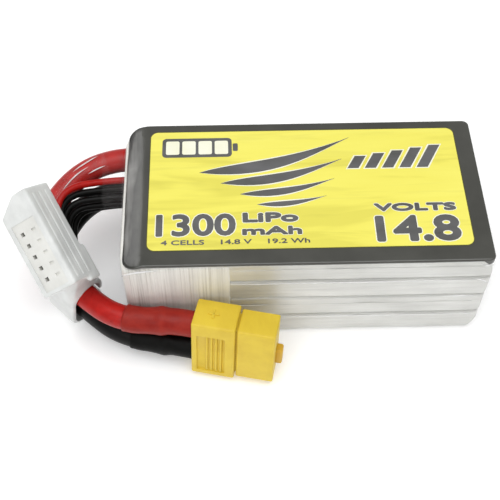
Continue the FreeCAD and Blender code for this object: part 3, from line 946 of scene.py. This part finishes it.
def crease_piece(name, line, radius, material):
    """Raised fold of film that tapers to both ends."""
    rings = tube_along(resampled(line, 14), lambda share, _: radius * (0.15 + math.sin(math.pi * share)), 8)
    piece(name, mesh_from("crease", *bridge_rings(rings)), material)


def make_creases(material):
    """Small folds where the film has shrunk round the corners and between the cells, in near-opaque white
    that paints their highlights.
    """
    front = PACK[0].y - 0.00005
    right = PACK[1].x
    creases = [                 # points (X, inwards from the front face, Z), then radius
        ([(-0.0377, 0.0009, 0.0226), (-0.0364, 0.0002, 0.0244), (-0.0338, 0, 0.0254),
          (-0.0300, 0, 0.0258)], 0.00018),
        ([(-0.0150, 0, 0.0200), (0.0100, 0, 0.0202), (0.0368, 0, 0.0200)], 0.00008),
        ([(-0.0150, 0, 0.0068), (0.0100, 0, 0.0070), (0.0368, 0, 0.0068)], 0.00007),
        ([(right - 0.0040, 0, 0.0256), (right - 0.0024, 0, 0.0252), (right - 0.0016, 0, 0.0255)], 0.00014),
        ([(right - 0.0046, 0, 0.0206), (right - 0.0028, 0, 0.0202), (right - 0.0014, 0, 0.0190)], 0.00014),
        ([(right - 0.0100, 0, 0.0139), (right - 0.0060, 0, 0.0144), (right - 0.0030, 0, 0.0138)], 0.00012),
        ([(right - 0.0052, 0, 0.0074), (right - 0.0038, 0, 0.0068), (right - 0.0026, 0, 0.0066)], 0.00012),
    ]
    for index, (points, radius) in enumerate(creases):
        line = centreline([(x, front + inwards, z) for x, inwards, z in points])
        crease_piece(f"film_crease_highlight_{index + 1}", line, radius, material)


def make_collar(haze, crease):
    """Film drawn out over the leads, and the loose tongue of it on the red lead, with painted highlight
    streaks along the tongue.
    """
    root = PACK[0].x + 0.0003
    tilt = Matrix.Rotation(math.radians(41), 2)
    sections = [                # distance from the pack, centre (Y, Z), size
        (0.0, (0.0100, 0.0204), (0.0215, 0.0112)),
        (-0.0012, (0.0101, 0.0203), (0.0185, 0.0108)),
        (-0.0026, (0.0100, 0.0201), (0.0158, 0.0104)),
        (-0.0047, (0.0096, 0.0199), (0.0148, 0.0104)),
    ]
    rings = []
    for x, (y, z), (width, height) in sections:
        ring = []
        profile = plan_ring(-width / 2, width / 2, -height / 2, height / 2, 0, 0.0042, 0.0042, 0, 10, 12, 8)
        for point in profile:
            pull = 0.0004 * noise.noise(Vector((point.x * 300, point.y * 300, x * 100)))
            across, up = tilt @ point.to_2d()
            ring.append(Vector((root + x + pull, min(y + across, 0.0176), min(z + up, 0.0262))))
        rings.append(ring)
    mesh = mesh_from("collar", *bridge_rings(rings, False, False))
    piece("film_collar", mesh, haze, replaces=["lead_collar"])

    tongue_end, tongue_start = 0.0052, -0.0425      # Y and X between which it lies on the lead
    line = resampled(centreline(RED_ROUTE), 160)
    stretch = [p for p in line if p.y > tongue_end and p.x < tongue_start]

    def radius(share, angle):
        fold = 0.00018 * math.sin(angle * 5 + share * 9)
        fold += 0.00012 * noise.noise(Vector((share * 6, angle * 2, 1)))
        return LEAD_DIAMETER / 2 + 0.0003 + fold

    rings = tube_along(stretch, radius, 24, (10.0, 215.0))
    columns = len(rings[0])
    centre = columns // 2
    for index, ring in enumerate(rings):
        keep = 1 - 0.55 * (index / (len(rings) - 1)) ** 3
        for step in range(centre):
            aim = centre + (step - centre) * keep
            lower = int(aim)
            ring[step] = ring[lower].lerp(ring[lower + 1], aim - lower)
    vertices = [v for ring in rings for v in ring]
    faces = [(r * columns + i, r * columns + i + 1, (r + 1) * columns + i + 1, (r + 1) * columns + i)
             for r in range(len(rings) - 1) for i in range(columns - 1)]
    piece("film_tongue", mesh_from("tongue", vertices, faces), haze)
    # Thin white tubes along the tongue: painted highlights.
    for index, (column, first, last) in enumerate(((9, 0.10, 0.55), (12, 0.30, 0.85), (15, 0.05, 0.40))):
        span = rings[int(first * len(rings)):int(last * len(rings))]
        crease_piece(f"tongue_highlight_streak_{index + 1}", [ring[column] for ring in span], 0.00013, crease)


# ---------------------------------------------------------------- connector

def joined(meshes):
    """One mesh from several, which are then removed."""
    made = bmesh.new()
    for mesh in meshes:
        made.from_mesh(mesh)
        bpy.data.meshes.remove(mesh)
    return made


def make_cover(yellow):
    """Rear cover of the connector: a shell with two lead entries, a ribbed grip and a plus mark."""
    length, thickness, width = COVER_SIZE
    face = -thickness / 2
    top = width / 2
    wall, rear_wall = 0.001, 0.0012
    grip_low, grip_high, grip_depth = -0.0066, 0.0046, 0.0005
    entry_radius, entry_depth = 0.0030, 0.0022
    grip = bevelled_box((0.0012, face - wall, grip_low), (0.0072, face + grip_depth, grip_high), 0.00025, 2)
    inner = bevelled_box((rear_wall, wall + face, wall - top), (length + wall, -face - wall, top - wall), 0)
    steps = [subtract(grip), subtract(inner)]
    for side in (1, -1):
        hole = bmesh.new()
        place = Matrix.Translation((0, 0, side * LEAD_OFFSET)) @ Matrix.Rotation(math.pi / 2, 4, "Y")
        bmesh.ops.create_cone(hole, cap_ends=True, segments=40, radius1=entry_radius, radius2=entry_radius,
                              depth=entry_depth, matrix=place)
        steps.append(subtract(hole))
    outer = bevelled_box((0, face, -top), (length, -face, top), 0.00045, 4)
    parts = [applied("cover", to_mesh("cover_base", outer), steps)]
    first_rib, rib_pitch, rib_width, rib_gap = 0.0031, 0.00098, 0.00046, 0.0002
    for index in range(4):
        x = first_rib + index * rib_pitch
        parts.append(to_mesh("rib", bevelled_box(
            (x, face + 0.0001, grip_low + rib_gap), (x + rib_width, face + 0.0008, grip_high - rib_gap),
            0.00012, 2)))
    mark_x, arm, half_stroke, rise = 0.0040, 0.0012, 0.00026, 0.00026
    for long, wide in ((arm, half_stroke), (half_stroke, arm)):
        parts.append(to_mesh("mark", bevelled_box(
            (mark_x - long, -wide, top - 0.0002), (mark_x + long, wide, top + rise), 0.00006, 2)))
    mesh = to_mesh("cover", joined(parts), CONNECTOR)
    moulded_piece("connector_rear_cover", mesh, yellow, replaces=["connector_cover"])


def make_cap(yellow, shaded_yellow):
    """Pull-off cap: a hollow block that rides on its own body, with a small tab in a darker yellow that is
    painted shade.
    """
    length, thickness, width = CAP_SIZE
    end = CAP_START + length
    outer = bevelled_box((CAP_START, -thickness / 2, -width / 2), (end, thickness / 2, width / 2), 0.0004, 4)
    wall, half, top = 0.001, 0.0028, 0.0069
    hollow = bevelled_box((CAP_START - wall, -half, -top), (end - wall, half, top), 0)
    mesh = applied("cap", to_mesh("cap_base", outer), [subtract(hollow)])
    mesh.transform(CONNECTOR)
    moulded_piece("connector_pull_cap", mesh, yellow, "cap", ["connector_cap"])
    # The tab's darker yellow nylon is painted shade of its face turned from the light.
    tab = bevelled_box((end - 0.0004, -0.0012, -0.0034), (end + 0.0014, 0.0012, 0.0008), 0.00045, 4)
    moulded_piece("cap_tab", to_mesh("tab", tab, CONNECTOR), shaded_yellow, "cap")


# ---------------------------------------------------------------- balance plug and clip

def make_plug(white):
    """Plug housing with its square holes, the marks beside them and the wires' cavities."""
    width, thickness, depth = PLUG_SIZE
    half = thickness / 2
    y = PLUG_HOLE_OFFSET
    hole_half, mark_half, cavity_half = 0.00042, 0.0003, 0.0010
    steps = []
    for index in range(PLUG_WAYS):
        x = plug_way(index)
        hole = (x - hole_half, y - hole_half, -0.007), (x + hole_half, y + hole_half, 0.001)
        mark = (x - mark_half, 0.0010, -0.00035), (x + mark_half, 0.0020, 0.001)
        cavity = (x - cavity_half, y - cavity_half, -0.011), (x + cavity_half, y + cavity_half, -0.0068)
        for low, high in (hole, mark, cavity):
            steps.append(subtract(bevelled_box(low, high, 0)))
    outer = bevelled_box((-width / 2, -half, -depth), (width / 2, half, -0.00004), 0.0001, 2)
    mesh = applied("plug", to_mesh("plug_base", outer), steps)
    mesh.transform(PLUG)
    moulded_piece("plug_housing", mesh, white, replaces=["balance_plug"])


def stadium_ring(x, width, height, count=20):
    """Outline round a stadium section, at one place along the hook's axis."""
    radius = width / 2
    straight = height / 2 - radius
    points = []
    for side in (1, -1):
        for step in range(count + 1):
            angle = math.pi * step / count
            points.append(Vector((x, side * radius * math.cos(angle),
                                  side * (straight + radius * math.sin(angle)))))
    return points


def hull_of(points):
    """Bmesh of the convex hull of some points."""
    made = bmesh.new()
    for point in points:
        made.verts.new(point)
    result = bmesh.ops.convex_hull(made, input=made.verts[:])
    loose = [item for item in result["geom_interior"] if isinstance(item, bmesh.types.BMVert)]
    bmesh.ops.delete(made, geom=loose, context="VERTS")
    return made


def make_clip(frosted):
    """Moulded clip: a soft-edged block round the plug, its flap, and a sleeve round the leads."""
    half = CLIP_HALF
    outline = [(CLIP_TOP + 0.0033, -half), (CLIP_TOP, 0.0006), (CLIP_TOP, half), (CLIP_BOTTOM, half),
               (CLIP_BOTTOM, -half)]
    block = hull_of([Vector((x, y, z)) for x, y in outline for z in (-CLIP_DEPTH, 0.00005)])
    flap = bevelled_box((0.0016, half - 0.0012, -0.0104), (0.0094, half, -0.0060), 0.0003, 2)
    height, width = HOOK_SIZE
    outer = (width + 2 * HOOK_WALL, height + 2 * HOOK_WALL)
    sleeve_extra = 0.0013       # how much further the sleeve reaches along the leads than the CAD hook
    near, far = HOOK_DEPTH / 2 + sleeve_extra, -HOOK_DEPTH / 2
    sleeve = hull_of(stadium_ring(near, *outer) + stadium_ring(far, *outer))
    foot = [PLUG @ Vector((CLIP_BOTTOM - 0.0014, y, z))
            for y in (0.0024 - half, half - 0.0006) for z in (-CLIP_DEPTH, -0.0042)]
    crown = [HOOK @ p for x in (near - 0.0003, far + 0.0012) for p in stadium_ring(x, *outer)
             if p.z > 0.0030 and p.y < 0.0030]
    base = to_mesh("clip_base", joined([
        to_mesh("block", block, PLUG),
        to_mesh("flap", flap, PLUG),
        to_mesh("sleeve", sleeve, HOOK),
        to_mesh("shoulder", hull_of(foot + crown))]))
    solid = applied("clip_solid", base, [
        ("REMESH", {"mode": "VOXEL", "voxel_size": 0.00022}),
        ("SMOOTH", {"factor": 0.6, "iterations": 34})])
    pocket_x, pocket_y = 0.00738, 0.00286
    pocket = bevelled_box((-pocket_x, -pocket_y, -0.0125), (pocket_x, pocket_y, 0.001), 0)
    half_gap = 0.0016
    gap = bevelled_box((-HOOK_DEPTH, 0.0, -half_gap), (HOOK_DEPTH, 0.008, half_gap), 0)
    past = 0.012
    bore = hull_of(stadium_ring(past, width, height) + stadium_ring(-past, width, height))
    mesh = applied("clip", solid, [
        subtract(bore, HOOK), subtract(pocket, PLUG), subtract(gap, HOOK)])
    moulded_piece("plug_clip", mesh, frosted, replaces=["balance_clip"], degrees=40)

    ribs = []
    first_rib, rib_pitch, rib_width, rise = -0.0076, 0.0024, 0.0011, 0.00008
    for index in range(3):
        z = first_rib + index * rib_pitch
        ribs.append(to_mesh("rib", bevelled_box(
            (CLIP_TOP + 0.0015, half - 0.0001, z), (CLIP_BOTTOM - 0.0009, half + rise, z + rib_width),
            0.00006, 3), PLUG))
    moulded_piece("clip_ribs", to_mesh("ribs", joined(ribs)), frosted)


# ---------------------------------------------------------------- stage

def area_light(name, place, target, size, power):
    data = bpy.data.lights.new(name, "AREA")
    data.shape = "RECTANGLE"
    data.size, data.size_y = size
    data.energy = power
    made = new_object(name, data)
    made.location = place
    made.rotation_mode = "QUATERNION"
    made.rotation_quaternion = (Vector(target) - Vector(place)).to_track_quat("-Z", "Y")


def make_stage():
    """Pale floor, even surroundings and three soft lights."""
    white = (1, 1, 1, 1)
    mesh = bmesh.new()
    bmesh.ops.create_grid(mesh, x_segments=1, y_segments=1, size=1.5)
    floor_height = min(CAD_BOX[0].z, 0.0) - 0.00005
    floor_mesh = to_mesh("floor", mesh, Matrix.Translation((0, 0, floor_height)))
    floor = new_object("floor", floor_mesh)
    floor_mesh.materials.append(Material(
        "floor", (0.92, 0.92, 0.92, 1), Roughness=0.8, Emission_Color=white, Emission_Strength=0.22).data)
    world = bpy.data.worlds.new("studio")
    world.use_nodes = True
    background = world.node_tree.nodes["Background"].inputs
    background["Color"].default_value = white
    background["Strength"].default_value = 0.40
    bpy.context.scene.world = world
    area_light("overhead", (0.0, -0.10, 0.60), (0, -0.05, 0), (0.70, 0.50), 2.8)
    area_light("front", (-0.30, -0.50, 0.35), (0, 0, 0), (0.35, 0.30), 0.6)
    area_light("end", (-0.46, 0.46, 0.52), (-0.03, 0, 0.02), (0.25, 0.25), 0.45)
    bpy.context.scene.view_settings.view_transform = "Standard"


def assign(material, *nodes):
    """Better material for CAD nodes that stay."""
    for node in nodes:
        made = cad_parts[node]
        for slot in made.material_slots:
            slot.material = material
        if not made.material_slots:
            made.data.materials.append(material)


def main():
    make_camera()
    red = silicone("red_silicone", srgb(184, 22, 14), srgb(158, 15, 9), 0.34, 0.28)
    black = silicone("black_silicone", srgb(11, 11, 9), srgb(5, 5, 4), 0.40, 0.16)
    materials = {
        "red_heat_shrink": silicone("red_shrunk_tube", srgb(154, 36, 23), srgb(136, 25, 16), 0.42, 0.22),
        "black_heat_shrink": silicone("black_shrunk_tube", srgb(10, 10, 8), srgb(5, 5, 4), 0.48, 0.12),
        "yellow_print": panel_material(),
        "dark_ink": ink_material("dark_ink", srgb(84, 84, 82), srgb(104, 104, 106)),
        "pale_ink": ink_material("pale_ink", srgb(244, 243, 214), srgb(250, 250, 236)),
        "olive_ink": ink_material("olive_ink", srgb(78, 78, 30), srgb(92, 90, 36)),
    }
    yellow = moulded("yellow_nylon", srgb(226, 197, 54), srgb(216, 184, 46), 0.45)
    # Darker copy of the yellow nylon: painted shade for the cap's tab.
    shaded_yellow = moulded("painted_shade_yellow_nylon", srgb(216, 172, 42), srgb(204, 158, 36), 0.45)
    white = moulded("white_nylon", srgb(226, 226, 221), srgb(214, 214, 209), 0.4)
    frosted = moulded("frosted_plastic", srgb(226, 228, 226), srgb(210, 212, 210), 0.38)
    foil = foil_material()
    film = film_material("clear_film", 0.07, (0.93, 0.93, 0.93, 1))
    haze = film_material("hazy_film", 0.035, (0.86, 0.80, 0.80, 1))

    make_cord("red_lead_cord", RED_ROUTE, LEAD_DIAMETER, red)
    make_cord("black_lead_cord", BLACK_ROUTE, LEAD_DIAMETER, black)
    for index in range(PLUG_WAYS):
        is_red = index == 0
        make_cord(f"balance_wire_{index + 1}_cord", wire_route(index), WIRE_DIAMETER,
                  red if is_red else black)
    make_heat_shrinks(materials)
    make_cells(foil)
    make_tape(tape_material())
    make_film(film)
    make_label(label_material())
    make_panel(materials)
    # Near-opaque white film for the raised folds: painted highlights along them.
    crease = film_material("crease_highlight_film", 0.75, (1, 1, 1, 1))
    make_creases(crease)
    make_collar(haze, crease)
    make_cover(yellow)
    make_cap(yellow, shaded_yellow)
    make_plug(white)
    make_clip(frosted)

    assign(metal("gold_plated_brass", srgb(236, 198, 104), srgb(206, 164, 78)),
           "positive_socket", "negative_socket", "balance_contacts")
    assign(yellow, "connector_body")
    assign(metal("aluminium_tab", srgb(214, 214, 214), srgb(188, 188, 188)), "positive_tabs")
    assign(metal("nickel_tab", srgb(200, 196, 188), srgb(170, 166, 158)), "negative_tabs")
    assign(metal("solder", srgb(208, 208, 206), srgb(170, 170, 168), 0.25, 0.001), "solder_joints")
    assign(moulded("solder_mask", srgb(28, 92, 54), srgb(18, 70, 40), 0.3, 0.0008), "terminal_board")
    assign(moulded("fibre_sheet", srgb(70, 74, 66), srgb(54, 58, 52), 0.7, 0.0003, 0.00003), "end_insulator")
    assign(moulded("foam_tape", srgb(232, 232, 226), srgb(210, 210, 204), 0.85, 0.0004, 0.00006),
           *(f"cell_pad_{index + 1}" for index in range(CELLS - 1)))
    make_stage()


main()
